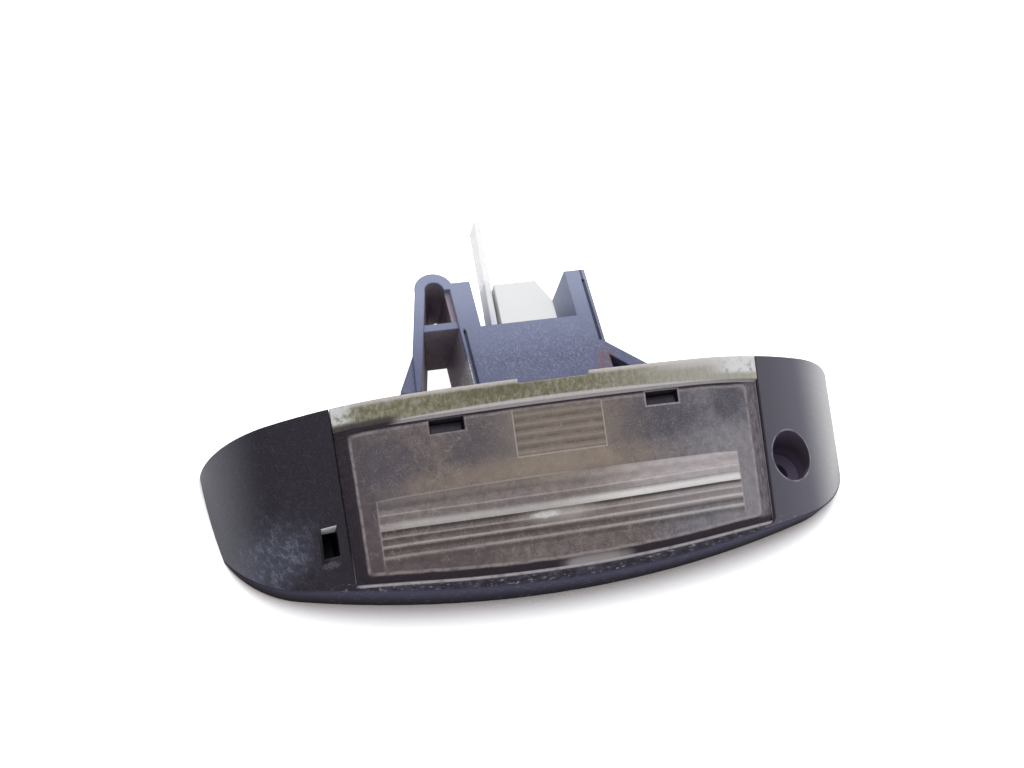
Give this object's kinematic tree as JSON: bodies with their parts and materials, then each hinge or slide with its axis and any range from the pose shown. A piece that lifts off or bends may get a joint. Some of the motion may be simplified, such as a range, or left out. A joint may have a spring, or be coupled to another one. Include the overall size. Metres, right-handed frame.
{
  "type": "number plate lamp",
  "caption": "Crescent-shaped rear number plate lamp for a van, with a clear ribbed lens and a snap-in tower that carries a bulb holder.",
  "frame": {"origin": "middle of the lamp's length, in the plane of the face that lies on the panel, at the level of the back rim", "axes": "+X along the lamp to the right as seen with the tower up, +Y through the panel in the direction the tower pushes in, +Z out of the side that is seen"},
  "size_m": [0.139, 0.0811, 0.026],
  "materials": {
    "black_plastic": "moulded satin, scuffed and grimy",
    "clear_plastic": "clear moulding, grimed, algae along the top band",
    "seal_rubber": "matte",
    "white_plastic": "satin white, tab slightly see-through",
    "bulb_glass": "clear",
    "filament_wire": "dark coil",
    "lead_wire": "plain wire",
    "contact_brass": "stamped strip"
  },
  "bodies": {
    "root": {"housing": "black_plastic", "lens": "clear_plastic", "lens_seal": "seal_rubber", "bulb_holder": "white_plastic", "bulb_glass": "bulb_glass", "filament": "filament_wire", "lead_front": "lead_wire", "lead_back": "lead_wire", "contact_front": "contact_brass", "contact_back": "contact_brass"}
  },
  "joints": []
}
